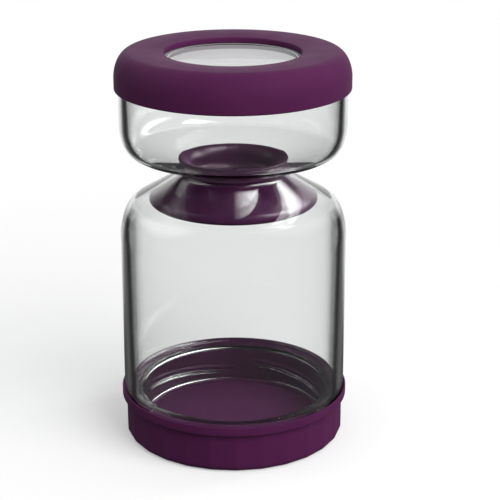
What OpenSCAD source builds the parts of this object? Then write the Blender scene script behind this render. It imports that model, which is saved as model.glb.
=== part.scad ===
// Flip pickle jar. One hourglass of clear glass stands on its large screw lid, with a small
// drain bowl and a windowed screw cap on top and a lift-out strainer in the narrow neck.
// Millimetres, +Z up, the origin at the centre of the underside of the base lid.

/* [Glass] */
// Outer radius of the threaded finish at both ends of the glass
finish_r = 44.9; // [42:0.1:48]
// Thickness of the glass wall
glass_t = 2.4; // [1.8:0.1:3]
// Thickness of the glass at the threaded finish
finish_t = 2.6; // [2:0.1:3]
// How far the lower chamber's wall stands outside the finish
jar_out = 5.5; // [4:0.1:7]
// How far the drain bowl's wall stands outside the finish
bowl_out = 5.1; // [4:0.1:7]
// Height of the heel, where the lower chamber widens inside the base lid's lip
heel_b = 2.6; // [2:0.1:3]
// Height of the lower chamber's straight wall
jar_side = 72.3; // [50:0.1:90]
// Width of the curve at the jar's shoulder
shoulder_a = 8.3; // [6:0.1:12]
// Height of the curve at the jar's shoulder
shoulder_b = 17.2; // [12:0.2:22]
// Slope of the shoulder towards the neck, in degrees
shoulder_slope = 30; // [22:1:34]
// Outer radius of the neck
neck_r = 23; // [19:0.2:26]
// Radius of the groove that the neck makes outside
neck_groove = 2.6; // [2:0.1:4]
// Thickness of the glass at the neck
neck_t = 1.6; // [1.4:0.1:2.4]
// Thickness of the glass under the cap, where the bowl narrows to its finish
brow_t = 1.2; // [1:0.1:1.8]
// Straight length of the neck
neck_straight = 0.2; // [0.1:0.1:4]
// Slope of the drain bowl's floor, in degrees
bowl_slope = 15; // [10:1:20]
// Width of the curve at the bowl's lower edge
bowl_a = 6.9; // [5:0.1:10]
// Height of the curve at the bowl's lower edge
bowl_b = 13; // [9:0.2:16]
// Height of the bowl's straight wall
bowl_side = 15.9; // [8:0.1:24]
// Height of the curve at the bowl's upper edge
bowl_top_b = 1; // [1:0.1:2]
// Length of the upper threaded finish
top_finish = 7.6; // [7.6:0.1:13]

/* [Screw threads] */
// Height of a thread ridge from its wall
thread_d = 1.3; // [1:0.05:1.5]
// Radial clearance from a ridge's crest to the other wall
thread_gap = 0.4; // [0.3:0.05:0.6]
// Axial width of a ridge on the base finish
base_ridge = 1.8; // [1.4:0.1:1.9]
// Rise of the base thread in one turn
base_lead = 20; // [19:0.5:24]
// Starts of the base thread
base_starts = 4; // [3:1:4]
// Axial width of a ridge on the top finish
cap_ridge = 1.4; // [1:0.1:1.5]
// Rise of the cap thread in one turn
cap_lead = 12; // [11.5:0.1:14]
// Starts of the cap thread
cap_starts = 3; // [2:1:3]
// Angle that each ridge spans, in degrees
ridge_span = 80; // [60:5:85]
// Axial play between closed ridges
thread_play = 0.3; // [0.25:0.05:0.4]

/* [Base lid] */
// Height of the base lid
base_h = 22.3; // [20:0.1:26]
// Thickness of the base lid's floor
base_floor = 2.6; // [2:0.1:4]
// Wall of the base lid outside its liner
base_wall = 1.6; // [1.4:0.1:3]
// Thickness of the lip that stands round the glass
lip_t = 0.75; // [0.7:0.05:1.2]
// Height of the slope under the lip
lip_slope = 1.3; // [1:0.1:1.7]
// Depth of the ledge inside the lip, over which the glass's heel sits
ledge_depth = 3.3; // [3:0.1:3.6]
// Radius of the lid's bottom corner
base_corner = 3; // [2:0.1:4]
// Number of flat grip facets
facets = 27; // [18:1:36]
// Height of the round band above the grip facets
band_h = 5.2; // [5:0.1:7]
// Turn of the first facet edge from the front, in degrees
facet_turn = 2; // [0:1:13]
// Depth of the recess in the underside
foot_recess = 0.6; // [0.3:0.1:1]
// Width of the flat ring that the lid stands on
foot_w = 4.5; // [3:0.5:8]

/* [Cap] */
// Wall of the cap outside its liner
cap_wall = 3.55; // [3.45:0.05:5]
// Thickness of the cap's top plate
cap_plate = 3.6; // [2.8:0.1:5]
// Width of the rounding at the cap's top edge
cap_round_a = 7.3; // [5:0.1:9]
// Height of the rounding at the cap's top edge
cap_round_b = 11.6; // [8:0.1:13]
// Crown of the cap's top face
cap_crown = 0.3; // [0.1:0.05:0.6]
// How far the top face sinks towards the opening
cap_dish = 0.7; // [0.2:0.1:1]
// Radius of the cap's lower edge
cap_edge_r = 0.6; // [0.5:0.1:1.2]
// Radius of the opening over the window
window_r = 29.9; // [24:0.1:36]
// Rounding at the rim of that opening
window_edge = 0.8; // [0.4:0.1:1.2]
// Thickness of the window disc
disc_t = 3; // [2:0.1:4]

/* [Liners and gaskets] */
// Wall of the threaded liners
liner_t = 1.5; // [1.2:0.1:2]
// Thickness of both gaskets
gasket_t = 1.5; // [1:0.1:2.5]

/* [Strainer] */
// Radius of the strainer's rim
rim_r = 24.3; // [23.8:0.1:24.8]
// Thickness of the rim at its edge
rim_t = 0.7; // [0.6:0.1:1.4]
// Width of the flat top of the rim
rim_w = 0.9; // [0.7:0.1:2]
// Wall of the strainer's stem
stem_t = 1.6; // [1.2:0.1:2.2]
// Height of the sealing ribs on the stem
rib = 0.8; // [0.5:0.1:1]
// Sealing ribs on the stem
ribs = 2; // [1:1:2]
// Height from one rib to the next
rib_pitch = 2; // [1.9:0.1:2.2]
// Depth of the strainer's well below its rim
well_depth = 10.8; // [9:0.2:13]
// Radius between the well's wall and its floor
well_fillet = 4; // [2:0.2:4]
// Thickness of the perforated floor
floor_t = 1.8; // [1.2:0.1:2.6]
// Length of the stem below the floor
stem_tail = 3.7; // [2:0.1:6]
// Radius of a drain hole
hole_r = 1.7; // [1:0.1:2]
// Distance from one ring of holes to the next
hole_pitch = 5.2; // [4.6:0.1:5.6]
// Radius of the skirt's outer edge
skirt_r = 37.1; // [32:0.1:40]
// Thickness of the skirt
skirt_t = 1.9; // [1.4:0.1:2.4]
// Radius at which the skirt's top rolls over at its edge
skirt_roll = 3.2; // [2.2:0.1:4.4]
// Length of the sleeve under the skirt
sleeve_h = 7; // [5:0.2:9]
// Clearance of the soft pieces from the glass and from each other
fit = 0.3; // [0.25:0.05:0.4]

/* [Hidden] */
$fn = 96;

plum = [0.30, 0.14, 0.27];
silicone = [0.36, 0.17, 0.33];
clear = [0.86, 0.92, 0.92, 0.35];

small = 0.1;                       // running gap between pieces of one lid
sunk = 0.3;                        // how deep a ridge is rooted in its wall
edge = 0.8;                        // rounding of the glass rims
lip_gap = 0.35;                    // from the glass out to the base lid's lip
lip_round = 0.35;                  // rounding of that lip's edge
heel_gap = 0.3;                    // from the base lid's ledge up to the heel
liner_clear = 0.4;                 // from the bowl's upper curve up to the cap's liner
cap_reach = 0.1;                   // how far the cap covers the bowl's straight wall
base_ridge_up = 3;                 // from the glass's lower rim up to its ridges' middles
cap_ridge_up = 3.2;                // from the top finish's foot up to its ridges' middles
overlap = 1;                       // how far solids that join or cut reach into each other
ring_holes = 6;                    // drain holes added with each ring

// Radii, from the glass outwards
finish_in = finish_r - finish_t;
jar_r = finish_r + jar_out;
bowl_r = finish_r + bowl_out;
crest_r = finish_r + thread_d;
liner_in = crest_r + thread_gap;
liner_r = liner_in + liner_t;
bore_r = liner_r + small;
base_r = bore_r + base_wall;
lip_in = jar_r + lip_gap;
cap_r = bore_r + cap_wall;
disc_r = bore_r - thread_gap;
gasket_r = liner_in - thread_d - fit;
gasket_in = finish_in - thread_gap;

// Heights, from the floor upwards
rim_low = base_floor + gasket_t;
facet_h = base_h - band_h;
ledge_z = base_h - ledge_depth;
heel_z = ledge_z + heel_gap;
jar_z = heel_z + heel_b;
shoulder_z = jar_z + jar_side;
shoulder_t = atan2(shoulder_b, shoulder_a * tan(shoulder_slope));
shoulder_end = [jar_r - shoulder_a + shoulder_a * cos(shoulder_t),
                shoulder_z + shoulder_b * sin(shoulder_t)];
neck_c = neck_r + neck_groove;     // radius at which both groove arcs have their centres
neck_z = shoulder_end.y + (shoulder_end.x - neck_c) * tan(shoulder_slope)
         + neck_groove / cos(shoulder_slope);
neck_top = neck_z + neck_straight;
bowl_t = atan2(bowl_b, bowl_a * tan(bowl_slope));
bowl_end_r = bowl_r - bowl_a + bowl_a * cos(bowl_t);
bowl_end_z = neck_top + neck_groove / cos(bowl_slope) + (bowl_end_r - neck_c) * tan(bowl_slope);
bowl_z = bowl_end_z + bowl_b * sin(bowl_t);
bowl_top = bowl_z + bowl_side;
top_foot = bowl_top + bowl_top_b;
rim_top = top_foot + top_finish;
disc_z = rim_top + gasket_t;
plate_z = disc_z + disc_t + small;
cap_top = plate_z + cap_plate;
cap_low = bowl_top - cap_reach;

// The strainer follows the inside of the neck
inner_arc = neck_groove + neck_t;
seat_arc = inner_arc + fit;
stem_r = neck_c - seat_arc - rib;
rim_a = acos((rim_r - neck_c) / seat_arc);
rim_z = neck_top + seat_arc * sin(rim_a) + rim_t;
well_r = stem_r - stem_t;
well_z = rim_z - well_depth;
seat_end = 150;                    // degrees round the groove at which the seat stops
sleeve_a = 208;                    // degrees round the groove at which the skirt's sleeve starts
sleeve_in = stem_r + fit;
sleeve_top = neck_z + seat_arc * sin(sleeve_a);
rib_z = sleeve_top + rib + 2 * fit;

// Inside of the shoulder, straight from the neck to the curve; the skirt lies along it
neck_in = [neck_c + inner_arc * cos(270 - shoulder_slope),
           neck_z + inner_arc * sin(270 - shoulder_slope)];
shoulder_in = [jar_r - shoulder_a + (shoulder_a - glass_t) * cos(shoulder_t),
               shoulder_z + (shoulder_b - glass_t) * sin(shoulder_t)];
skirt_slope = atan2(neck_in.y - shoulder_in.y, shoulder_in.x - neck_in.x);

// Points along an ellipse round [c.x, c.y], from angle t0 to t1
function arc(c, a, b, t0, t1, n = 12) =
    [for (i = [0:n]) let (t = t0 + (t1 - t0) * i / n) [c.x + a * cos(t), c.y + b * sin(t)]];

// One ridge of a screw thread: a helix of tapering section on a wall of radius r, standing
// d outwards, or inwards where d is negative. Its middle climbs lead in one turn from z.
module ridge(r, d, width, lead, z) {
    n = 12;
    side = sign(d);
    section = [[-side * sunk, -0.5], [1, -0.25], [1, 0.25], [-side * sunk, 0.5]];
    ring = side > 0 ? section : [section[1], section[0], section[3], section[2]];
    points = [for (i = [0:n]) let (ease = min(1, (0.3 + i) / 2, (0.3 + n - i) / 2),
                                   turn = ridge_span * i / n, rise = z + lead * turn / 360)
        for (p = ring) let (q = r + (p.x == 1 ? d * ease : p.x))
            [q * cos(turn), q * sin(turn), rise + width * p.y]];
    sides = [for (i = [0:n - 1], j = [0:3]) let (a = 4 * i + j, b = 4 * i + (j + 1) % 4)
        each [[a, b, b + 4], [a, b + 4, a + 4]]];
    polyhedron(points, concat(sides, [[3, 2, 1, 0], [4 * n, 4 * n + 1, 4 * n + 2, 4 * n + 3]]));
}

// All starts of one thread
module thread(r, d, width, lead, starts, z) {
    for (k = [0:starts - 1])
        rotate([0, 0, 360 * k / starts]) ridge(r, d, width, lead, z);
}

module turned(points) {
    rotate_extrude() polygon(points);
}

module tube(r_in, r_out, z0, z1, bevel = 0.3) {
    turned([[r_in, z0], [r_out - bevel, z0], [r_out, z0 + bevel], [r_out, z1 - bevel],
            [r_out - bevel, z1], [r_in, z1]]);
}

// Heights of the ridges' lower ends: each lid's ridges hook over those of the glass
base_ridge_z = rim_low + base_ridge_up;
cap_ridge_z = top_foot + cap_ridge_up;

// Base lid ---------------------------------------------------------------------------

module base_lid() {
    foot_in = base_r - base_corner - foot_w;
    lip_r = lip_in + lip_t;
    color(plum) difference() {
        union() {
            // Grip: flat facets, rounded at the bottom
            intersection() {
                linear_extrude(facet_h)
                    polygon([for (i = [0:facets - 1]) let (a = facet_turn - 90 + 360 * i / facets)
                        base_r * [cos(a), sin(a)]]);
                turned(concat([[0, 0]], arc([base_r - base_corner, base_corner], base_corner,
                    base_corner, -90, 0), [[base_r, facet_h], [0, facet_h]]));
            }
            // Round band above the grip, and the lip
            turned(concat([[0, facet_h - overlap], [base_r - overlap, facet_h - overlap],
                [base_r, facet_h], [lip_r, facet_h + lip_slope]],
                arc([lip_r - lip_round, base_h - lip_round], lip_round, lip_round, 0, 90, 4),
                [[0, base_h]]));
        }
        translate([0, 0, base_floor]) cylinder(r = bore_r, h = base_h);
        translate([0, 0, ledge_z]) cylinder(r = lip_in, h = base_h);
        translate([0, 0, -overlap]) cylinder(r = foot_in, h = overlap + foot_recess);
    }
}

module base_liner() {
    color(plum * 0.8) {
        tube(liner_in, liner_r, base_floor, ledge_z - small);
        thread(liner_in, -thread_d, base_ridge, base_lead, base_starts,
               base_ridge_z + base_ridge + thread_play);
    }
}

module gasket(z) {
    color(silicone) tube(gasket_in, gasket_r, z, z + gasket_t);
}

module base_gasket() {
    gasket(base_floor);
}

// Glass ------------------------------------------------------------------------------

// The hourglass is one piece of glass. It is drawn as its chamber and its bowl, which meet
// face to face round the middle of the neck.
neck_mid = (neck_z + neck_top) / 2;

module glass_chamber() {
    outer = concat(
        arc([finish_r - edge, rim_low + edge], edge, edge, -90, 0, 4),
        arc([finish_r, heel_z + heel_b], jar_out, heel_b, -90, 0),
        arc([jar_r - shoulder_a, shoulder_z], shoulder_a, shoulder_b, 0, shoulder_t),
        arc([neck_c, neck_z], neck_groove, neck_groove, 270 - shoulder_slope, 180, 6),
        [[neck_r, neck_mid]]);
    inner = concat(
        [[neck_c - inner_arc, neck_mid]],
        arc([neck_c, neck_z], inner_arc, inner_arc, 180, 270 - shoulder_slope, 8),
        arc([jar_r - shoulder_a, shoulder_z], shoulder_a - glass_t, shoulder_b - glass_t,
            shoulder_t, 0),
        arc([finish_in, heel_z + glass_t + heel_b], jar_r - glass_t - finish_in, heel_b, 0, -90),
        arc([finish_in + edge, rim_low + edge], edge, edge, 180, 270, 4));
    color(clear) {
        turned(concat(outer, inner));
        thread(finish_r, thread_d, base_ridge, base_lead, base_starts, base_ridge_z);
    }
}

module glass_bowl() {
    outer = concat(
        [[neck_r, neck_mid]],
        arc([neck_c, neck_top], neck_groove, neck_groove, 180, 90 + bowl_slope, 6),
        arc([bowl_r - bowl_a, bowl_z], bowl_a, bowl_b, -bowl_t, 0),
        arc([finish_r, bowl_top], bowl_out, bowl_top_b, 0, 90),
        arc([finish_r - edge, rim_top - edge], edge, edge, 0, 90, 4));
    inner = concat(
        arc([finish_in + edge, rim_top - edge], edge, edge, 90, 180, 4),
        arc([finish_in, bowl_top - brow_t], bowl_r - glass_t - finish_in, bowl_top_b, 90, 0),
        arc([bowl_r - bowl_a, bowl_z], bowl_a - glass_t, bowl_b - glass_t, 0, -bowl_t),
        arc([neck_c, neck_top], inner_arc, inner_arc, 90 + bowl_slope, 180, 8),
        [[neck_c - inner_arc, neck_mid]]);
    color(clear) {
        turned(concat(outer, inner));
        thread(finish_r, thread_d, cap_ridge, cap_lead, cap_starts, cap_ridge_z);
    }
}

// Strainer ---------------------------------------------------------------------------

// Cup that hangs by its rim in the neck's flare, with sealing ribs and a perforated floor
module strainer_cup() {
    under = well_z - floor_t;
    tail = under - stem_tail;
    seat = arc([neck_c, neck_top], seat_arc, seat_arc, rim_a, seat_end);
    flare = [rim_r - rim_w - well_r, rim_z - neck_top];
    color(silicone) difference() {
        union() {
            turned(concat([[0, rim_z], [rim_r - rim_t / 3, rim_z], [rim_r, rim_z - rim_t / 3]],
                seat, [[stem_r, neck_top + seat_arc * sin(seat_end)], [stem_r, tail], [0, tail]]));
            for (k = [0:ribs - 1])
                translate([0, 0, rib_z + rib_pitch * k])
                    rotate_extrude() translate([stem_r, 0]) circle(r = rib, $fn = 24);
        }
        // Well: flared mouth, straight wall, filleted floor
        turned(concat([[0, rim_z + overlap], [rim_r - rim_w, rim_z + overlap]],
            arc([rim_r - rim_w, neck_top], flare.x, flare.y, 90, 180),
            arc([well_r - well_fillet, well_z + well_fillet], well_fillet, well_fillet, 0, -90),
            [[0, well_z]]));
        translate([0, 0, tail - overlap]) cylinder(r = well_r, h = stem_tail + overlap);
        for (k = [0:2], i = [0:max(0, ring_holes * k - 1)])
            rotate([0, 0, 360 * i / max(ring_holes * k, 1)])
                translate([hole_pitch * k, 0, under - overlap])
                    cylinder(r = hole_r, h = floor_t + 2 * overlap);
    }
}

// Skirt that closes the neck from below and sleeves onto the strainer's stem
module neck_skirt() {
    fall = tan(skirt_slope);
    start = neck_c + seat_arc * cos(270 - shoulder_slope);
    start_z = neck_z + seat_arc * sin(270 - shoulder_slope);
    drop = skirt_t / cos(skirt_slope);
    roll_r = skirt_r - skirt_roll;
    roll_z = start_z - (roll_r + skirt_roll * sin(skirt_slope) - start) * fall
             - skirt_roll * cos(skirt_slope);
    bead_in = skirt_r - 2 * skirt_t;
    sleeve_out = sleeve_in + skirt_t;
    color(silicone)
        turned(concat(
            [[sleeve_in, sleeve_top]],
            arc([neck_c, neck_z], seat_arc, seat_arc, sleeve_a, 270 - shoulder_slope, 8),
            arc([roll_r, roll_z], skirt_roll, skirt_roll, 90 - skirt_slope, 0, 6),
            arc([skirt_r - skirt_t, roll_z], skirt_t, skirt_t, -10, -180),
            [[bead_in, start_z + (start - bead_in) * fall - drop],
             [sleeve_out, start_z + (start - sleeve_out) * fall - drop],
             [sleeve_out, sleeve_top - sleeve_h],
             [sleeve_in, sleeve_top - sleeve_h]]));
}

// Cap --------------------------------------------------------------------------------

module window_disc() {
    color(clear) tube(0, disc_r, disc_z, disc_z + disc_t, 0.5);
}

module cap_gasket() {
    gasket(rim_top);
}

module cap_liner() {
    color(plum * 0.8) {
        tube(liner_in, liner_r, top_foot + liner_clear, disc_z - small);
        thread(liner_in, -thread_d, cap_ridge, cap_lead, cap_starts,
               cap_ridge_z - cap_ridge - thread_play);
    }
}

module cap_shell() {
    shelf = cap_top - cap_crown;
    flat_r = cap_r - cap_round_a;
    flat_w = flat_r - window_r - window_edge;
    brim = shelf - cap_dish;
    step_z = top_foot + liner_clear;
    skirt_in = bowl_r + thread_gap;
    color(plum)
        turned(concat(
            [[bore_r, step_z], [skirt_in, step_z], [skirt_in, cap_low]],
            arc([cap_r - cap_edge_r, cap_low + cap_edge_r], cap_edge_r, cap_edge_r, -90, 0, 5),
            arc([flat_r, shelf - cap_round_b], cap_round_a, cap_round_b, 0, 90),
            [for (u = [0.1:0.1:0.95])
                [flat_r - flat_w * u, shelf + cap_crown * sin(180 * u) - cap_dish * u * u]],
            arc([window_r + window_edge, brim - window_edge], window_edge, window_edge,
                90, 180, 5),
            [[window_r, plate_z], [bore_r, plate_z]]));
}

base_lid();
base_liner();
base_gasket();
glass_chamber();
glass_bowl();
neck_skirt();
strainer_cup();
window_disc();
cap_gasket();
cap_liner();
cap_shell();
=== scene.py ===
"""Looks of the flip pickle jar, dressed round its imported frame.

Sizes are in millimetres unless their names end in _m."""
import math

import bmesh
import bpy
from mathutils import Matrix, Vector


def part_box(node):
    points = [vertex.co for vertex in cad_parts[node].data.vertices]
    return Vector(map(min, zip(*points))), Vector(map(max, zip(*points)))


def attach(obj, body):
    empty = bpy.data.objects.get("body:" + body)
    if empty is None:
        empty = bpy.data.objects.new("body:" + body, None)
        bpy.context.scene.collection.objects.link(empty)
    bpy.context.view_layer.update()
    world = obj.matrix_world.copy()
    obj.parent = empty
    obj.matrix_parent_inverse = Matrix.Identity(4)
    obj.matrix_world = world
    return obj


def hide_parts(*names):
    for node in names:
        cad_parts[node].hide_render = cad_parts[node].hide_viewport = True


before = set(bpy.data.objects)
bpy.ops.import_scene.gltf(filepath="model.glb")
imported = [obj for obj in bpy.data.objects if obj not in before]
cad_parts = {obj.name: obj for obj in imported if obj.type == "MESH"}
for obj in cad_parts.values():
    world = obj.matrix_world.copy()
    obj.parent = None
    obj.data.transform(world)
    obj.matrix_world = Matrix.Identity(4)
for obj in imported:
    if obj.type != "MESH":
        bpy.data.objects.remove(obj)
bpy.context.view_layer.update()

MM = 0.001
TAU = 2 * math.pi


def low_z(node):
    """Height of a node's underside."""
    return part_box(node)[0].z / MM


def high_z(node):
    """Height of a node's top."""
    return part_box(node)[1].z / MM


def out_r(node):
    """Outer radius of a turned node."""
    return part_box(node)[1].x / MM


# Sizes that the frame gives -------------------------------------------------------------

BASE_H = high_z("base_lid")
LIP_R = out_r("base_lid")
RIM_LOW = low_z("glass_chamber")
RIM_TOP = high_z("glass_bowl")
JAR_R = out_r("glass_chamber")
BOWL_R = out_r("glass_bowl")
DISC_Z = low_z("window_disc")
DISC_TOP = high_z("window_disc")
CAP_LOW = low_z("cap_shell")
CAP_R = out_r("cap_shell")
CUP_RIM_R = out_r("strainer_cup")
CUP_RIM_Z = high_z("strainer_cup")
CUP_TAIL_Z = low_z("strainer_cup")
SKIRT_R = out_r("neck_skirt")
SKIRT_LOW = low_z("neck_skirt")
SKIRT_TOP = high_z("neck_skirt")

# Sizes that the boxes don't show --------------------------------------------------------

FINISH_R = 44.9          # glass at both threaded ends
FINISH_IN = 42.3
GLASS_T = 2.4            # glass wall
NECK_T = 1.6             # glass at the neck
BROW_T = 1.2             # glass under the cap, where the bowl narrows to its finish
LEDGE_DEPTH = 3.3        # from the base lid's top down to the ledge inside its lip
LEDGE_Z = BASE_H - LEDGE_DEPTH
HEEL_GAP = 0.3           # from that ledge up to where the glass widens
HEEL_Z = LEDGE_Z + HEEL_GAP
HEEL_B = 2.6             # height of the curve where it widens
SHOULDER_Z = 94.2        # top of the lower chamber's straight wall
SHOULDER_A = 8.3         # width and height of the shoulder's curve
SHOULDER_B = 17.2
SHOULDER_SLOPE = math.radians(30)
GROOVE = 2.6             # radius of the groove outside the neck
NECK_C = 25.6            # radius of the groove's centre
BOWL_SLOPE = math.radians(15)
BOWL_A = 6.9             # width and height of the curve at the bowl's lower edge
BOWL_B = 13.0
BOWL_SIDE = 15.9         # height of the bowl's straight wall
BOWL_TOP_B = 1.0         # height of the curve at its top
TOP_FINISH = 7.6         # height of the upper finish
NECK_STRAIGHT = 0.2
FIT = 0.3                # gap between the strainer's pieces and the glass
RIB = 0.8                # height of the ribs round the strainer's stem
SMALL_FILLET = 0.3       # where a finish meets the wall that stands out from it
FILLET_REACH = 0.35      # how far out from the finish that wall's curve starts

THREAD_D = 1.3           # height of a thread ridge
LINER_IN = 46.6
LINER_R = 48.1
BORE_R = 48.2            # inside of both lids
GASKET_IN = 41.9
RIDGE_SPAN = math.radians(80)
RIDGE_EASE = math.radians(12)
THREAD_PLAY = 0.3

BASE_WALL_R = 49.8
BASE_FLOOR = 2.6
BASE_CORNER = 3.0
FACETS = 27
BAND_H = 5.2             # round band above the facets
FACET_H = BASE_H - BAND_H
LIP_SLOPE = 1.3
LIP_GAP = 0.35           # from the glass out to the lip
FACET_TURN = math.radians(2 - 90)
FOOT_RECESS = 0.6
FOOT_W = 4.5

CAP_ROUND_A = 7.3        # width and height of the cap's rounded shoulder
CAP_ROUND_B = 11.6
CAP_PLATE = 3.6          # thickness of its top
CAP_CROWN = 0.3
CAP_DISH = 0.7           # how far the top falls towards the window
WINDOW_R = 29.9

# Heights of the neck and the bowl, as the shoulder's slope and the rim give them
shoulder_t = math.atan2(SHOULDER_B, SHOULDER_A * math.tan(SHOULDER_SLOPE))
shoulder_end = (JAR_R - SHOULDER_A + SHOULDER_A * math.cos(shoulder_t),
                SHOULDER_Z + SHOULDER_B * math.sin(shoulder_t))
NECK_Z = (shoulder_end[1] + (shoulder_end[0] - NECK_C) * math.tan(SHOULDER_SLOPE)
          + GROOVE / math.cos(SHOULDER_SLOPE))
NECK_TOP = NECK_Z + NECK_STRAIGHT
TOP_FOOT = RIM_TOP - TOP_FINISH
BOWL_TOP = TOP_FOOT - BOWL_TOP_B
BOWL_Z = BOWL_TOP - BOWL_SIDE
bowl_t = math.atan2(BOWL_B, BOWL_A * math.tan(BOWL_SLOPE))
INNER_ARC = GROOVE + NECK_T
SEAT_ARC = INNER_ARC + FIT


# Profiles -------------------------------------------------------------------------------

def arc(centre, a, b, start, end, steps=16):
    """Points (r, z) along an ellipse from one angle to another, in degrees."""
    points = []
    for i in range(steps + 1):
        t = math.radians(start + (end - start) * i / steps)
        points.append((centre[0] + a * math.cos(t), centre[1] + b * math.sin(t)))
    return points


def line(start, end, step):
    """Points from start to end, without the two ends, no more than step apart."""
    length = math.dist(start, end)
    count = max(1, math.ceil(length / step))
    return [(start[0] + (end[0] - start[0]) * i / count,
             start[1] + (end[1] - start[1]) * i / count) for i in range(1, count)]


def rounded(corners, steps=5):
    """A profile from (r, z, radius) corners, each rounded to its radius."""
    points = []
    count = len(corners)
    for i, (r, z, radius) in enumerate(corners):
        here = Vector((r, z))
        if radius <= 0:
            points.append((r, z))
            continue
        to_last = (Vector(corners[i - 1][:2]) - here).normalized()
        to_next = (Vector(corners[(i + 1) % count][:2]) - here).normalized()
        half = to_last.angle(to_next) / 2
        reach = radius / math.tan(half)
        centre = here + (to_last + to_next).normalized() * radius / math.sin(half)
        start = here + to_last * reach - centre
        end = here + to_next * reach - centre
        for k in range(steps + 1):
            ray = start.lerp(end, k / steps).normalized() * radius
            points.append((centre.x + ray.x, centre.y + ray.y))
    return points


# Meshes ---------------------------------------------------------------------------------

def new_object(name, bm, sharp_angle=35):
    """A smooth-shaded object in metres from a bmesh in millimetres, with its hard edges marked."""
    bmesh.ops.recalc_face_normals(bm, faces=bm.faces)
    bmesh.ops.scale(bm, vec=(MM, MM, MM), verts=bm.verts)
    for edge in bm.edges:
        edge.smooth = not (edge.is_manifold and edge.calc_face_angle() > math.radians(sharp_angle))
    for face in bm.faces:
        face.smooth = True
    mesh = bpy.data.meshes.new(name)
    bm.to_mesh(mesh)
    bm.free()
    obj = bpy.data.objects.new(name, mesh)
    bpy.context.scene.collection.objects.link(obj)
    return obj


def turned_mesh(profile, angles, radius=None):
    """A bmesh of the (r, z) profile turned about Z. A profile that starts and ends on the axis
    closes there, any other is a ring. radius(r, z, angle) may move a point in or out."""
    bm = bmesh.new()
    on_axis = profile[0][0] < 1e-6 and profile[-1][0] < 1e-6
    rows = profile[1:-1] if on_axis else profile
    grid = []
    for r, z in rows:
        ring = []
        for angle in angles:
            q = radius(r, z, angle) if radius else r
            ring.append(bm.verts.new((q * math.cos(angle), q * math.sin(angle), z)))
        grid.append(ring)
    count = len(angles)
    pairs = zip(grid, grid[1:]) if on_axis else zip(grid, grid[1:] + grid[:1])
    for low, high in pairs:
        for j in range(count):
            k = (j + 1) % count
            bm.faces.new((low[j], low[k], high[k], high[j]))
    if on_axis:
        for ring, point in ((grid[0], profile[0]), (grid[-1], profile[-1])):
            pole = bm.verts.new((0, 0, point[1]))
            for j in range(count):
                bm.faces.new((ring[j], ring[(j + 1) % count], pole))
    return bm


def around(count):
    """Even angles about the axis."""
    return [TAU * i / count for i in range(count)]


def thread_rise(angle, z, start_z, lead, width, starts):
    """How much of a ridge's height stands at an angle and height: 0 between ridges, 1 on one."""
    best = 0.0
    for k in range(starts):
        turn = (angle - TAU * k / starts) % TAU
        if turn > RIDGE_SPAN:
            continue
        off = abs(z - start_z - lead * turn / TAU) / (width / 2)
        ease = min(1.0, turn / RIDGE_EASE, (RIDGE_SPAN - turn) / RIDGE_EASE)
        best = max(best, min(1.0, max(0.0, (1 - off) * 2)) * ease)
    return best * best * (3 - 2 * best)


# Materials ------------------------------------------------------------------------------

def shader(name):
    """A new material with its Principled shader."""
    mat = bpy.data.materials.new(name)
    mat.use_nodes = True
    return mat, mat.node_tree, mat.node_tree.nodes["Principled BSDF"]


def noise(tree, coords, scale, detail=2.0, rough=0.5):
    """Smooth noise with so many waves to the metre."""
    node = tree.nodes.new("ShaderNodeTexNoise")
    node.inputs["Scale"].default_value = scale
    node.inputs["Detail"].default_value = detail
    node.inputs["Roughness"].default_value = rough
    tree.links.new(coords, node.inputs["Vector"])
    return node.outputs["Fac"]


def ramp(tree, value, low, high, stops=(0.3, 0.7)):
    """Colour or grey from low to high as value goes from the first stop to the second."""
    node = tree.nodes.new("ShaderNodeValToRGB")
    for element, stop, colour in zip(node.color_ramp.elements, stops, (low, high)):
        element.position = stop
        element.color = (*colour, 1) if len(colour) == 3 else (colour[0],) * 3 + (1,)
    tree.links.new(value, node.inputs["Fac"])
    return node.outputs["Color"]


def bumps(tree, bsdf, layers):
    """Chains bump nodes of (height, strength, distance_m) into the shader's normal."""
    normal = None
    for height, strength, distance_m in layers:
        node = tree.nodes.new("ShaderNodeBump")
        node.inputs["Strength"].default_value = strength
        node.inputs["Distance"].default_value = distance_m
        tree.links.new(height, node.inputs["Height"])
        if normal:
            tree.links.new(normal, node.inputs["Normal"])
        normal = node.outputs["Normal"]
    tree.links.new(normal, bsdf.inputs["Normal"])


def plastic(name, dark, light, rough, grain_mm, grain, sheen=0.0, specular=0.5):
    """Moulded plum plastic or silicone: two close tones in broad clouds, a fine surface grain,
    patches of finer polish from handling, and a skin uneven by a few hundredths of a millimetre.
    """
    mat, tree, bsdf = shader(name)
    coords = tree.nodes.new("ShaderNodeTexCoord").outputs["Object"]
    clouds = noise(tree, coords, 1 / (22 * MM), 3.0)
    fine = noise(tree, coords, 1 / (grain_mm * MM), 3.0, 0.6)
    polish = noise(tree, coords, 1 / (9 * MM), 4.0, 0.6)
    tree.links.new(ramp(tree, clouds, dark, light), bsdf.inputs["Base Color"])
    tree.links.new(ramp(tree, polish, (rough - 0.04,), (rough + 0.04,)), bsdf.inputs["Roughness"])
    bumps(tree, bsdf, [(clouds, 0.25, 0.05 * MM), (fine, grain, 0.02 * MM)])
    bsdf.inputs["Specular IOR Level"].default_value = specular
    bsdf.inputs["Sheen Weight"].default_value = sheen
    bsdf.inputs["Sheen Roughness"].default_value = 0.5
    bsdf.inputs["Sheen Tint"].default_value = (0.95, 0.62, 0.90, 1)
    return mat


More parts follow.
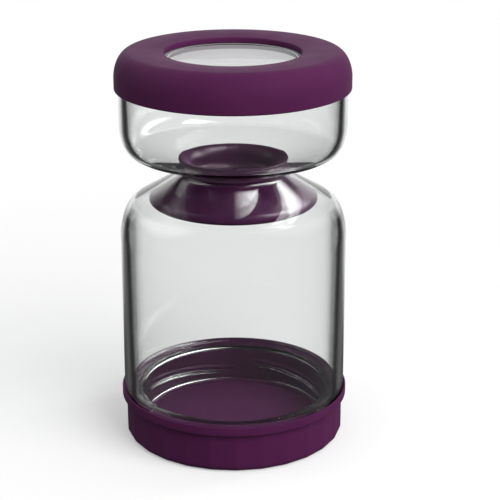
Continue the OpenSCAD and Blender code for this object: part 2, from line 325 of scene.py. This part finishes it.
def reckon(tree, operation, *values):
    """What the operation makes of its numbers, each a socket or a plain number."""
    node = tree.nodes.new("ShaderNodeMath")
    node.operation = operation
    for socket, value in zip(node.inputs, values):
        if isinstance(value, float):
            socket.default_value = value
        else:
            tree.links.new(value, socket)
    return node.outputs["Value"]


def product(tree, first, second):
    """The first number times the second."""
    return reckon(tree, "MULTIPLY", first, second)


def below(tree, value, limit):
    """1 where the number is below the limit, otherwise 0."""
    return reckon(tree, "LESS_THAN", value, limit)


def vector_node(tree, operation, vector, second=None):
    """An operation on a vector, and on a fixed second one where it takes two."""
    node = tree.nodes.new("ShaderNodeVectorMath")
    node.operation = operation
    if second is not None:
        node.inputs[1].default_value = second
    tree.links.new(vector, node.inputs[0])
    return node.outputs


def flattened(tree, vector):
    """The vector without its height."""
    return vector_node(tree, "MULTIPLY", vector, (1, 1, 0))["Vector"]


def between(tree, value, low, high, at_low=0.0, at_high=1.0):
    """Goes from at_low to at_high as the number goes from low to high."""
    node = tree.nodes.new("ShaderNodeMapRange")
    for name, number in (("From Min", low), ("From Max", high),
                         ("To Min", at_low), ("To Max", at_high)):
        node.inputs[name].default_value = number
    tree.links.new(value, node.inputs["Value"])
    return node.outputs["Result"]


def curve(tree, value, stops):
    """A grey that follows (position, grey) stops."""
    node = tree.nodes.new("ShaderNodeValToRGB")
    elements = node.color_ramp.elements
    while len(elements) < len(stops):
        elements.new(0.5)
    for element, (position, grey) in zip(elements, stops):
        element.position = position
        element.color = (grey, grey, grey, 1)
    tree.links.new(value, node.inputs["Fac"])
    return node.outputs["Color"]


# A painted dark line: how much of the glass's colour is kept on the front of an upright glass wall,
# by how far the wall faces away (its Layer Weight, from the first to the second number of the
# span).
# It falls almost to nothing just inside the outline, which paints the dark line of a thick wall.
EDGE_SPAN = (0.50, 0.82)
EDGE_LINE = ((0.000, 1), (0.163, 0.92), (0.206, 0.74), (0.262, 0.64), (0.312, 0.52),
             (0.350, 0.32), (0.388, 0.05), (0.438, 0.012), (0.484, 0.005), (0.525, 0.0002),
             (0.575, 0.0002), (0.625, 0.05), (0.681, 0.22), (0.734, 0.4), (0.813, 0.7),
             (0.906, 1), (1.000, 1))

# Radii between which the glass material goes from the inside of the wall to the outside, as
# depths under the chamber's outer surface. The bowl is a little narrower than the chamber.
INSIDE_DEPTHS = (1.2, 0.9)
OUTSIDE_DEPTHS = (2.6, 2.3)


def clear_glass(name, grazing, absorb_colour, absorb_density, wave, haze=1.0, edge_line=None):
    """Clear glass with the slow waves of a pressed wall. Its colour is painted greyer where it is
    seen edge-on, most on the inside of the wall, as painted shade; lamps shine through it. With an
    edge line, upright walls get a painted dark line, the line of thick glass. With haze below 1 a
    pane turns milky where it is seen edge-on."""
    mat, tree, bsdf = shader(name)
    nodes, links = tree.nodes, tree.links
    coords = nodes.new("ShaderNodeTexCoord").outputs["Object"]
    stretched = nodes.new("ShaderNodeMapping")
    stretched.inputs["Scale"].default_value = (1, 1, 0.35)
    links.new(coords, stretched.inputs["Vector"])
    slow = noise(tree, stretched.outputs["Vector"], 1 / (16 * MM), 1.0)
    quick = noise(tree, stretched.outputs["Vector"], 1 / (5 * MM), 2.0)
    bumps(tree, bsdf, [(slow, wave, 0.12 * MM), (quick, wave * 0.6, 0.02 * MM)])
    links.new(ramp(tree, quick, (0.0,), (0.012,)), bsdf.inputs["Roughness"])
    edge_on = nodes.new("ShaderNodeLayerWeight")
    edge_on.inputs["Blend"].default_value = 0.5
    radius = vector_node(tree, "LENGTH", flattened(tree, coords))["Value"]
    radii_m = [(JAR_R - depth) * MM for depth in INSIDE_DEPTHS]
    inside = between(tree, radius, *radii_m, 1.0, 0.45)
    geometry = nodes.new("ShaderNodeNewGeometry")
    lean = nodes.new("ShaderNodeSeparateXYZ")
    links.new(geometry.outputs["Normal"], lean.inputs["Vector"])
    upright = between(tree, reckon(tree, "ABSOLUTE", lean.outputs["Z"]), 0.35, 0.80, 1.0, 0.0)
    facing = product(tree, edge_on.outputs["Facing"], inside)
    if edge_line:
        facing = product(tree, facing, between(tree, upright, 0.0, 1.0, 0.6, 1.0))
    # painted shade: the colour goes grey towards the second colour as the wall is seen edge-on
    tint = ramp(tree, facing, (0.985, 0.992, 0.990), grazing, (0.50, 0.96))
    # Painted dark line: the colour is multiplied down just inside the outline of upright walls.
    if edge_line:
        radii_m = [(JAR_R - depth) * MM for depth in OUTSIDE_DEPTHS]
        outside = between(tree, radius, *radii_m)
        entered = between(tree, geometry.outputs["Backfacing"], 0.0, 1.0, 1.0, 0.0)
        entered = product(tree, entered, product(tree, outside, upright))
        shade = nodes.new("ShaderNodeMix")
        shade.data_type = "RGBA"
        shade.blend_type = "MULTIPLY"
        links.new(entered, shade.inputs["Factor"])
        links.new(tint, shade.inputs[6])
        zoomed = between(tree, edge_on.outputs["Facing"], *EDGE_SPAN)
        links.new(curve(tree, zoomed, edge_line), shade.inputs[7])
        tint = shade.outputs[2]
    links.new(tint, bsdf.inputs["Base Color"])
    if haze < 1:
        milk = ramp(tree, edge_on.outputs["Facing"], (1.0,), (haze,), (0.45, 0.80))
        links.new(milk, bsdf.inputs["Transmission Weight"])
    else:
        bsdf.inputs["Transmission Weight"].default_value = 1
    bsdf.inputs["IOR"].default_value = 1.5
    volume = nodes.new("ShaderNodeVolumeAbsorption")
    volume.inputs["Color"].default_value = (*absorb_colour, 1)
    volume.inputs["Density"].default_value = absorb_density
    path = nodes.new("ShaderNodeLightPath")
    through = nodes.new("ShaderNodeBsdfTransparent")
    through.inputs["Color"].default_value = (0.93, 0.95, 0.94, 1)
    mix = nodes.new("ShaderNodeMixShader")
    links.new(path.outputs["Is Shadow Ray"], mix.inputs["Fac"])
    links.new(bsdf.outputs["BSDF"], mix.inputs[1])
    links.new(through.outputs["BSDF"], mix.inputs[2])
    output = nodes["Material Output"]
    links.new(mix.outputs["Shader"], output.inputs["Surface"])
    links.new(volume.outputs["Volume"], output.inputs["Volume"])
    return mat


SOFT_TOUCH = plastic("soft_touch_plum", (0.069, 0.0106, 0.055), (0.079, 0.0128, 0.064),
                     rough=0.60, grain_mm=0.35, grain=0.25, sheen=0.04, specular=0.14)
SATIN_PLUM = plastic("satin_plum", (0.044, 0.008, 0.035), (0.054, 0.010, 0.043),
                     rough=0.40, grain_mm=0.6, grain=0.12, specular=0.35)
SILICONE = plastic("plum_silicone", (0.058, 0.010, 0.049), (0.068, 0.013, 0.058),
                   rough=0.36, grain_mm=0.5, grain=0.08, specular=0.5)
# The second colour of each glass is its painted shade where it is seen edge-on.
GLASS = clear_glass("jar_glass", (0.03, 0.035, 0.035), (0.30, 0.36, 0.35), 14.0, 0.35,
                    edge_line=EDGE_LINE)
WINDOW = clear_glass("window_glass", (0.26, 0.26, 0.29), (0.40, 0.46, 0.45), 12.0, 0.20,
                     haze=0.35)


def dress(obj, body, mat, slot, *nodes):
    """Gives a piece its material and body, and lets it stand for CAD nodes; its slot is not used.
    """
    obj.data.materials.clear()
    obj.data.materials.append(mat)
    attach(obj, body)
    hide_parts(*nodes)
    return obj


# Glass ----------------------------------------------------------------------------------

def glass_profile():
    """The hourglass's wall: up the outside from the lower rim and down the inside."""
    shoulder_deg, bowl_deg = math.degrees(shoulder_t), math.degrees(bowl_t)
    slope_deg, floor_deg = math.degrees(SHOULDER_SLOPE), math.degrees(BOWL_SLOPE)
    edge = 0.8                                      # radius at the two rims
    row = 0.22                                      # height of a row of faces on the threads
    outer = arc((FINISH_R - edge, RIM_LOW + edge), edge, edge, -90, 0, 6)
    heel = arc((FINISH_R, HEEL_Z + HEEL_B), JAR_R - FINISH_R, HEEL_B, -90, 0, 20)
    heel = [p for p in heel if p[0] > FINISH_R + FILLET_REACH]
    heel_fillet = rounded([(FINISH_R, HEEL_Z - 1, 0), (FINISH_R, HEEL_Z, SMALL_FILLET),
                           (heel[0][0], HEEL_Z, 0)])
    outer += line(outer[-1], heel_fillet[1], row) + heel_fillet[1:-1] + heel
    outer += arc((JAR_R - SHOULDER_A, SHOULDER_Z), SHOULDER_A, SHOULDER_B, 0, shoulder_deg, 28)
    outer += arc((NECK_C, NECK_Z), GROOVE, GROOVE, 270 - slope_deg, 180, 12)
    outer += arc((NECK_C, NECK_TOP), GROOVE, GROOVE, 180, 90 + floor_deg, 12)
    outer += arc((BOWL_R - BOWL_A, BOWL_Z), BOWL_A, BOWL_B, -bowl_deg, 0, 28)
    brow = arc((FINISH_R, BOWL_TOP), BOWL_R - FINISH_R, BOWL_TOP_B, 0, 90, 20)
    brow = [p for p in brow if p[0] > FINISH_R + FILLET_REACH]
    brow_fillet = rounded([(brow[-1][0], TOP_FOOT, 0), (FINISH_R, TOP_FOOT, SMALL_FILLET),
                           (FINISH_R, TOP_FOOT + 1, 0)])
    crown = arc((FINISH_R - edge, RIM_TOP - edge), edge, edge, 0, 90, 6)
    outer += brow + brow_fillet[1:-1] + line(brow_fillet[-2], crown[0], row) + crown
    inner = arc((FINISH_IN + edge, RIM_TOP - edge), edge, edge, 90, 180, 6)
    inner += arc((FINISH_IN, BOWL_TOP - BROW_T), BOWL_R - GLASS_T - FINISH_IN, BOWL_TOP_B,
                 90, 0, 16)
    inner += arc((BOWL_R - BOWL_A, BOWL_Z), BOWL_A - GLASS_T, BOWL_B - GLASS_T, 0, -bowl_deg, 28)
    inner += arc((NECK_C, NECK_TOP), INNER_ARC, INNER_ARC, 90 + floor_deg, 180, 16)
    inner += arc((NECK_C, NECK_Z), INNER_ARC, INNER_ARC, 180, 270 - slope_deg, 16)
    inner += arc((JAR_R - SHOULDER_A, SHOULDER_Z), SHOULDER_A - GLASS_T, SHOULDER_B - GLASS_T,
                 shoulder_deg, 0, 28)
    inner += arc((FINISH_IN, HEEL_Z + GLASS_T + HEEL_B), JAR_R - GLASS_T - FINISH_IN, HEEL_B,
                 0, -90, 16)
    inner += arc((FINISH_IN + edge, RIM_LOW + edge), edge, edge, 180, 270, 6)
    wall = outer + inner
    return wall[:1] + [p for last, p in zip(wall, wall[1:]) if math.dist(p, last) > 1e-4]


# Thread ridges on the glass: lowest height, lead, width and number of starts
BASE_RIDGE = (RIM_LOW + 3, 20.0, 1.8, 4)
CAP_RIDGE = (TOP_FOOT + 3.2, 12.0, 1.4, 3)


def glass_radius(r, z, angle):
    """Stands the thread ridges out of both finishes."""
    if abs(r - FINISH_R) > 1e-3:
        return r
    start_z, lead, width, starts = BASE_RIDGE if z < HEEL_Z else CAP_RIDGE
    return r + THREAD_D * thread_rise(angle, z, start_z, lead, width, starts)


def make_glass():
    """The whole hourglass, which stands for the two CAD halves."""
    bm = turned_mesh(glass_profile(), around(256), glass_radius)
    glass = new_object("glass_hourglass", bm, sharp_angle=60)
    dress(glass, "jar", GLASS, "glass", "glass_chamber", "glass_bowl")


# Lids -----------------------------------------------------------------------------------

def facet_angles():
    """Angles close together at each facet's edges, so that its flat stays flat."""
    steps = (0.0, 0.03, 0.10, 0.30, 0.50, 0.70, 0.90, 0.97)
    return [FACET_TURN + TAU * (i + s) / FACETS for i in range(FACETS) for s in steps]


def facet_radius(r, z, angle):
    """Cuts the flat grip facets into the outside of the base lid's wall."""
    if r < BASE_WALL_R - BASE_CORNER or z > FACET_H + 0.6:
        return r
    half = math.pi / FACETS
    off = (angle - FACET_TURN) % (2 * half) - half
    flat = BASE_WALL_R * math.cos(half) / math.cos(off)
    ease = min(1.0, max(0.0, (FACET_H + 0.3 - z) / 0.6))
    ease = ease * ease * (3 - 2 * ease)
    depth = BASE_WALL_R - min(flat, BASE_WALL_R - 0.02)
    return r - depth * ease * min(1.0, (r / BASE_WALL_R) ** 6)


def make_base_lid():
    """Screw lid with a recessed foot, flat facets, a round band and a thin lip round the glass."""
    lip_in = JAR_R + LIP_GAP
    foot_out = BASE_WALL_R - BASE_CORNER
    foot_in = foot_out - FOOT_W
    profile = [(0, FOOT_RECESS), (foot_in * 0.5, FOOT_RECESS), (foot_in - 0.4, FOOT_RECESS)]
    profile += [(foot_in - 0.1, FOOT_RECESS - 0.08), (foot_in, 0.15), (foot_in + 0.15, 0)]
    profile += arc((foot_out, BASE_CORNER), BASE_CORNER, BASE_CORNER, -90, 0, 12)
    wall = profile[-1]
    profile += line(wall, (BASE_WALL_R, FACET_H - 0.4), 2.5)
    profile += [(BASE_WALL_R, FACET_H + d) for d in (-0.3, -0.15, 0.0)]
    slope = rounded([(BASE_WALL_R, FACET_H, 0), (LIP_R, FACET_H + LIP_SLOPE, 0.7),
                     (LIP_R, BASE_H, 0)], 6)
    profile += line(slope[0], slope[1], 0.5) + slope[1:-1]
    corners = [(LIP_R, BASE_H - 1, 0), (LIP_R, BASE_H, 0.35), (lip_in, BASE_H, 0.3),
               (lip_in, LEDGE_Z, 0.3), (BORE_R, LEDGE_Z, 0.3), (BORE_R, BASE_FLOOR, 0.3),
               (0, BASE_FLOOR, 0)]
    profile += rounded(corners)[1:-1]
    profile += [(BORE_R * 0.5, BASE_FLOOR), (0, BASE_FLOOR)]
    bm = turned_mesh(profile, facet_angles(), facet_radius)
    dress(new_object("base_lid_shell", bm), "base", SOFT_TOUCH, "lid_plastic", "base_lid")


def ring_corners(r_in, r_out, z0, z1, radius=0.25):
    """Corners of a ring's section, all with one radius."""
    return [(r, z, radius) for r, z in ((r_in, z0), (r_out, z0), (r_out, z1), (r_in, z1))]


def make_liner(name, body, node, start_z, lead, width, starts):
    """A lid's threaded inner ring, with a rounded lead-in at its mouth."""
    z0, z1 = low_z(node), high_z(node)
    ring = rounded(ring_corners(LINER_IN, LINER_R, z0, z1), 3)
    profile = ring + line(ring[-1], ring[0], 0.25)

    def radius(r, z, angle):
        if abs(r - LINER_IN) > 1e-3:
            return r
        return r - THREAD_D * thread_rise(angle, z, start_z, lead, width, starts)

    bm = turned_mesh(profile, around(240), radius)
    dress(new_object(name, bm, 60), body, SATIN_PLUM, "liner_plastic", node)


def make_gasket(name, body, node):
    """A flat silicone ring with rounded edges."""
    ring = rounded(ring_corners(GASKET_IN, out_r(node), low_z(node), high_z(node)), 4)
    bm = turned_mesh(ring, around(192))
    dress(new_object(name, bm), body, SILICONE, "silicone", node)


def make_cap_shell():
    """Soft-touch ring cap: rounded shoulder, dished top, and a step inside for the bowl."""
    plate_z = DISC_TOP + 0.1
    shelf = plate_z + CAP_PLATE - CAP_CROWN
    flat_r = CAP_R - CAP_ROUND_A
    edge_r, lip, gap = 0.6, 0.8, 0.4
    step_z, inside_r = TOP_FOOT + gap, BOWL_R + gap
    profile = [(BORE_R, step_z + 0.3), (BORE_R + 0.3, step_z), (inside_r - 0.2, step_z)]
    profile += [(inside_r, step_z - 0.2), (inside_r, CAP_LOW + 0.05)]
    profile += arc((CAP_R - edge_r, CAP_LOW + edge_r), edge_r, edge_r, -90, 0, 8)
    profile += arc((flat_r, shelf - CAP_ROUND_B), CAP_ROUND_A, CAP_ROUND_B, 0, 90, 40)
    width = flat_r - WINDOW_R - lip
    for i in range(1, 16):
        u = i / 16
        height = shelf + CAP_CROWN * math.sin(math.pi * u) - CAP_DISH * u * u
        profile.append((flat_r - width * u, height))
    profile += arc((WINDOW_R + lip, shelf - CAP_DISH - lip), lip, lip, 90, 180, 8)
    profile += line(profile[-1], (WINDOW_R, plate_z + 0.3), 0.6) + [(WINDOW_R, plate_z + 0.3)]
    profile += [(WINDOW_R + 0.3, plate_z), (BORE_R - 0.4, plate_z), (BORE_R, plate_z - 0.4)]
    bm = turned_mesh(profile, around(256))
    dress(new_object("cap_ring_shell", bm), "cap", SOFT_TOUCH, "lid_plastic", "cap_shell")


def make_window():
    """The clear disc: rounded at its edge, with a shallow moulded step under the cap's opening."""
    r_out = out_r("window_disc")
    step_r, step = WINDOW_R - 1.6, 0.35
    profile = [(0, DISC_Z), (r_out * 0.5, DISC_Z)]
    profile += arc((r_out - 0.5, DISC_Z + 0.5), 0.5, 0.5, -90, 0, 5)
    profile += arc((r_out - 0.5, DISC_TOP - 0.5), 0.5, 0.5, 0, 90, 5)
    sunk = DISC_TOP - step
    profile += [(step_r + 0.5, DISC_TOP), (step_r + 0.2, DISC_TOP - 0.05)]
    profile += [(step_r - 0.2, sunk + 0.05), (step_r - 0.5, sunk), (step_r * 0.5, sunk), (0, sunk)]
    bm = turned_mesh(profile, around(192))
    dress(new_object("window_pane", bm, 25), "window", WINDOW, "window", "window_disc")


# Strainer -------------------------------------------------------------------------------

def make_strainer():
    """Cup with a rolled rim, sealing ribs round its stem and drain holes in its floor."""
    rib_pitch, stem_t, floor_t, tail = 2.0, 1.6, 1.8, 3.7
    stem_r = NECK_C - SEAT_ARC - RIB
    well_r = stem_r - stem_t
    under_z = CUP_TAIL_Z + tail
    floor_z = under_z + floor_t
    rim_w, fillet, roll = 0.9, 4.0, 0.35
    stem_deg = 150                                  # where the stem goes over into the rim
    rim_deg = math.degrees(math.acos((CUP_RIM_R - NECK_C) / SEAT_ARC))
    profile = [(0, under_z), (well_r - 1, under_z), (well_r, under_z - 1)]
    profile += [(well_r, CUP_TAIL_Z + 0.3), (well_r + 0.3, CUP_TAIL_Z)]
    profile += [(stem_r - 0.4, CUP_TAIL_Z), (stem_r, CUP_TAIL_Z + 0.4)]
    for k in range(2):
        profile += arc((stem_r, SKIRT_TOP + RIB + 2 * FIT + rib_pitch * k), RIB, RIB, -90, 90, 10)
    profile += arc((NECK_C, NECK_TOP), SEAT_ARC, SEAT_ARC, stem_deg, rim_deg, 14)
    profile += arc((CUP_RIM_R - roll, CUP_RIM_Z - roll), roll, roll, 0, 90, 6)
    rim_in = CUP_RIM_R - rim_w
    profile += arc((rim_in, NECK_TOP), rim_in - well_r, CUP_RIM_Z - NECK_TOP, 90, 180, 20)
    profile += arc((well_r - fillet, floor_z + fillet), fillet, fillet, 0, -90, 10)
    profile += [(well_r * 0.4, floor_z), (0, floor_z)]
    cup = new_object("strainer_cup_body", turned_mesh(profile, around(192)))
    cut_holes(cup, under_z, floor_t)
    dress(cup, "strainer", SILICONE, "silicone", "strainer_cup")


def cut_holes(cup, low, thick, hole_r=1.7, pitch=5.2):
    """Drills the drain holes in rings of six and twelve round a middle one."""
    bm = bmesh.new()
    for ring in range(3):
        count = max(1, 6 * ring)
        for i in range(count):
            a = TAU * i / count
            made = bmesh.ops.create_cone(bm, cap_ends=True, segments=32,
                                         radius1=hole_r, radius2=hole_r, depth=thick + 2)
            place = (pitch * ring * math.cos(a), pitch * ring * math.sin(a), low + thick / 2)
            bmesh.ops.translate(bm, verts=made["verts"], vec=place)
    drills = new_object("drills", bm)
    cut = cup.modifiers.new("holes", "BOOLEAN")
    cut.operation = "DIFFERENCE"
    cut.solver = "EXACT"
    cut.object = drills
    graph = bpy.context.evaluated_depsgraph_get()
    mesh = bpy.data.meshes.new_from_object(cup.evaluated_get(graph))
    cup.modifiers.clear()
    cup.data = mesh
    bpy.data.objects.remove(drills)


def make_skirt():
    """Flared skirt with a thick rolled edge, and the sleeve that grips the strainer's stem."""
    skirt_t, roll, sleeve_h = 1.9, 3.2, 7.0
    slope_deg = math.degrees(SHOULDER_SLOPE)
    neck_deg, sleeve_deg = 270 - slope_deg, 208     # where skirt and sleeve leave the neck's curve
    neck_in = (NECK_C + INNER_ARC * math.cos(math.radians(neck_deg)),
               NECK_Z + INNER_ARC * math.sin(math.radians(neck_deg)))
    shoulder_in = (JAR_R - SHOULDER_A + (SHOULDER_A - GLASS_T) * math.cos(shoulder_t),
                   SHOULDER_Z + (SHOULDER_B - GLASS_T) * math.sin(shoulder_t))
    slope = math.atan2(neck_in[1] - shoulder_in[1], shoulder_in[0] - neck_in[0])
    fall = math.tan(slope)
    shoulder = arc((NECK_C, NECK_Z), SEAT_ARC, SEAT_ARC, sleeve_deg, neck_deg, 20)
    start = shoulder[-1]
    drop = skirt_t / math.cos(slope)
    sleeve_in = NECK_C - SEAT_ARC - RIB + FIT
    sleeve_out = sleeve_in + skirt_t
    roll_r = SKIRT_R - roll
    roll_z = start[1] - (roll_r + roll * math.sin(slope) - start[0]) * fall - roll * math.cos(slope)
    bead_in = SKIRT_R - 2 * skirt_t
    edge = arc((roll_r, roll_z), roll, roll, 90 - math.degrees(slope), 0, 16)
    edge += arc((SKIRT_R - skirt_t, roll_z), skirt_t, skirt_t, -10, -180, 20)
    middle = [(r, z, 0) for r, z in shoulder[1:] + edge]
    corners = [(sleeve_in, SKIRT_TOP, 0.3), (shoulder[0][0], SKIRT_TOP, 0.2)]
    tail = [(bead_in, start[1] + (start[0] - bead_in) * fall - drop, 0.8),
            (sleeve_out, start[1] + (start[0] - sleeve_out) * fall - drop, 1.0),
            (sleeve_out, SKIRT_TOP - sleeve_h, 0.3), (sleeve_in, SKIRT_TOP - sleeve_h, 0.3)]
    bm = turned_mesh(rounded(corners + middle + tail), around(192))
    dress(new_object("flared_skirt", bm), "skirt", SILICONE, "silicone", "neck_skirt")


# Studio ---------------------------------------------------------------------------------

SEEN_THROUGH = 0.95      # the backdrop through glass, where 1 is white
IN_GLOSS = 0.14          # the floor in reflections that don't go behind the jar
ROOM = 0.03              # the rest of the room in reflections

# The room's two soft patches: where each is, and how closely a direction points there at the
# patch's edge and where its light is full
RIGHT_PATCH = ((0.66, 0.10, 0.72), 0.74, 0.96)
LEFT_PATCH = ((-0.80, 0.05, 0.60), 0.84, 0.97)
RIGHT_LIGHT = 0.6
RIGHT_LIGHT_INSIDE = 15.0                           # in the gloss of pieces inside the glass
LEFT_LIGHT = 1.3


def seen_as(tree, camera, transmission, glossy, front):
    """A number for each kind of ray that sees the backdrop, and 0 for light that has bounced off
    a matt surface. A ray through glass counts as a glossy one too. A reflection counts as one
    through glass where it goes behind the jar, and not where front is 1 or where it is the
    gloss of a piece inside the jar."""
    path = tree.nodes.new("ShaderNodeLightPath")
    turns = product(tree, path.outputs["Glossy Depth"], path.outputs["Transmission Depth"])
    aside = product(tree, path.outputs["Glossy Depth"], front)
    through = product(tree, path.outputs["Is Glossy Ray"], below(tree, turns, 3.0))
    through = product(tree, through, between(tree, aside, 0.0, 1.0, 1.0, 0.0))
    total = 0.0
    for kind, share in ((path.outputs["Is Camera Ray"], camera), (through, transmission - glossy),
                        (path.outputs["Is Glossy Ray"], glossy)):
        total = reckon(tree, "MULTIPLY_ADD", kind, share, total)
    return product(tree, total, below(tree, path.outputs["Diffuse Depth"], 0.5))


def in_front(tree, vector):
    """1 for a direction or place beside or before the jar, 0 for one well behind it."""
    unit = vector_node(tree, "NORMALIZE", flattened(tree, vector))["Vector"]
    split = tree.nodes.new("ShaderNodeSeparateXYZ")
    tree.links.new(unit, split.inputs["Vector"])
    return between(tree, split.outputs["Y"], 0.78, 0.90, 1.0, 0.0)


def make_floor():
    """Pale floor that the eye sees as white, with the object's shadow on it near the object."""
    bm = bmesh.new()
    bmesh.ops.create_circle(bm, cap_ends=True, segments=96, radius=6000)
    floor = new_object("studio_floor", bm)
    mat, tree, bsdf = shader("pale_floor")
    nodes, links = tree.nodes, tree.links
    place = nodes.new("ShaderNodeTexCoord").outputs["Object"]
    front = in_front(tree, place)
    eye = seen_as(tree, 1.0, SEEN_THROUGH, IN_GLOSS, front)
    stops = ((0.0, 0.16), (IN_GLOSS, 0.13), (1.0, SEEN_THROUGH))
    links.new(curve(tree, eye, stops), bsdf.inputs["Base Color"])
    bsdf.inputs["Roughness"].default_value = 0.9
    bsdf.inputs["Specular IOR Level"].default_value = 0.0
    away = vector_node(tree, "LENGTH", place)["Value"]
    far = ramp(tree, away, (0.30,), (1.0,), (0.12, 0.40))
    share = product(tree, seen_as(tree, 1.0, 1.0, 1.0, front), far)
    white = nodes.new("ShaderNodeEmission")
    links.new(eye, white.inputs["Color"])
    mix = nodes.new("ShaderNodeMixShader")
    links.new(share, mix.inputs["Fac"])
    links.new(bsdf.outputs["BSDF"], mix.inputs[1])
    links.new(white.outputs["Emission"], mix.inputs[2])
    links.new(mix.outputs["Shader"], nodes["Material Output"].inputs["Surface"])
    floor.data.materials.append(mat)


def toward(tree, direction, point):
    """How closely a direction points towards a place: 1 straight at it, 0 at right angles."""
    return vector_node(tree, "DOT_PRODUCT", direction, Vector(point).normalized())["Value"]


def make_world():
    """White to the eye and pale through glass. Reflections see a bright backdrop behind the jar
    and elsewhere a dim room with two soft patches, of which the right-hand one is bright for the
    gloss of pieces inside the glass. The light that falls on the jar is soft, brightest above."""
    world = bpy.data.worlds.new("studio")
    bpy.context.scene.world = world
    world.use_nodes = True
    tree = world.node_tree
    nodes, links = tree.nodes, tree.links
    background = nodes["Background"]
    direction = nodes.new("ShaderNodeTexCoord").outputs["Generated"]
    split = nodes.new("ShaderNodeSeparateXYZ")
    links.new(direction, split.inputs["Vector"])
    soft = ramp(tree, split.outputs["Z"], (0.24,), (0.72,), (0.0, 1.0))
    front = in_front(tree, direction)
    right_place, *right_span = RIGHT_PATCH
    right = between(tree, toward(tree, direction, right_place), *right_span)
    left_place, *left_span = LEFT_PATCH
    left = between(tree, toward(tree, direction, left_place), *left_span, ROOM, LEFT_LIGHT)
    path = nodes.new("ShaderNodeLightPath")
    few_walls = below(tree, path.outputs["Transmission Depth"], 2.5)
    lit = between(tree, few_walls, 0.0, 1.0, RIGHT_LIGHT_INSIDE, RIGHT_LIGHT)
    room = reckon(tree, "ADD", product(tree, right, lit), left)

    def choose(factor, off, on):
        """From off to on as the factor goes from 0 to 1."""
        mix = nodes.new("ShaderNodeMix")
        mix.data_type = "RGBA"
        links.new(factor, mix.inputs["Factor"])
        links.new(off, mix.inputs[6])
        if isinstance(on, float):
            mix.inputs[7].default_value = (on, on, on, 1)
        else:
            links.new(on, mix.inputs[7])
        return mix.outputs[2]

    colour = choose(seen_as(tree, 0.0, 1.0, 1.0, front), soft, room)
    colour = choose(seen_as(tree, 0.0, 1.0, 0.0, front), colour, SEEN_THROUGH)
    colour = choose(seen_as(tree, 1.0, 0.0, 0.0, front), colour, 1.0)
    links.new(colour, background.inputs["Color"])
    background.inputs["Strength"].default_value = 1


def softbox(name, place, size, watts):
    """A rectangular lamp at a place in metres, turned to the jar's middle. It lights the jar and
    isn't seen itself, also not in the glass."""
    data = bpy.data.lights.new(name, "AREA")
    data.shape = "RECTANGLE"
    data.size, data.size_y = size
    data.energy = watts
    lamp = bpy.data.objects.new(name, data)
    bpy.context.scene.collection.objects.link(lamp)
    lamp.location = place
    aim = Vector((0, 0, 0.09)) - Vector(place)
    lamp.rotation_euler = aim.to_track_quat("-Z", "Y").to_euler()
    lamp.visible_camera = False
    lamp.visible_glossy = False
    lamp.visible_transmission = False


def make_lamps():
    """A broad key from the right and above, and a weak strip at each side."""
    softbox("key_right", (0.75, -0.75, 0.80), (1.10, 1.10), 18)
    softbox("strip_left", (-1.05, 0.02, 0.35), (0.10, 0.70), 1.1)
    softbox("strip_right", (0.95, 0.42, 0.35), (0.14, 0.70), 2.2)


def make_camera():
    """Stands where the photograph was taken from: 0.70 m away, 19 degrees above the middle."""
    distance_m, pitch, axis_column = 0.700, math.radians(19.12), 233.6
    focal_px, frame_px, sensor = 1554.24, 500, 36
    aim = Vector(((250 - axis_column) / focal_px * distance_m, 0, 0.08613))
    data = bpy.data.cameras.new("camera")
    data.sensor_width = sensor
    data.lens = sensor * focal_px / frame_px
    data.clip_start = 0.01
    camera = bpy.data.objects.new("camera", data)
    bpy.context.scene.collection.objects.link(camera)
    camera.location = aim + distance_m * Vector((0, -math.cos(pitch), math.sin(pitch)))
    camera.rotation_euler = (math.pi / 2 - pitch, 0, 0)
    bpy.context.scene.camera = camera


make_camera()
make_glass()
make_base_lid()
make_liner("base_thread_ring", "base", "base_liner",
           BASE_RIDGE[0] + BASE_RIDGE[2] + THREAD_PLAY, *BASE_RIDGE[1:])
make_liner("cap_thread_ring", "cap", "cap_liner",
           CAP_RIDGE[0] - CAP_RIDGE[2] - THREAD_PLAY, *CAP_RIDGE[1:])
make_gasket("base_seal_ring", "seal", "base_gasket")
make_gasket("cap_seal_ring", "window", "cap_gasket")
make_cap_shell()
make_window()
make_strainer()
make_skirt()
make_floor()
make_world()
make_lamps()
bpy.context.scene.view_settings.view_transform = "Standard"
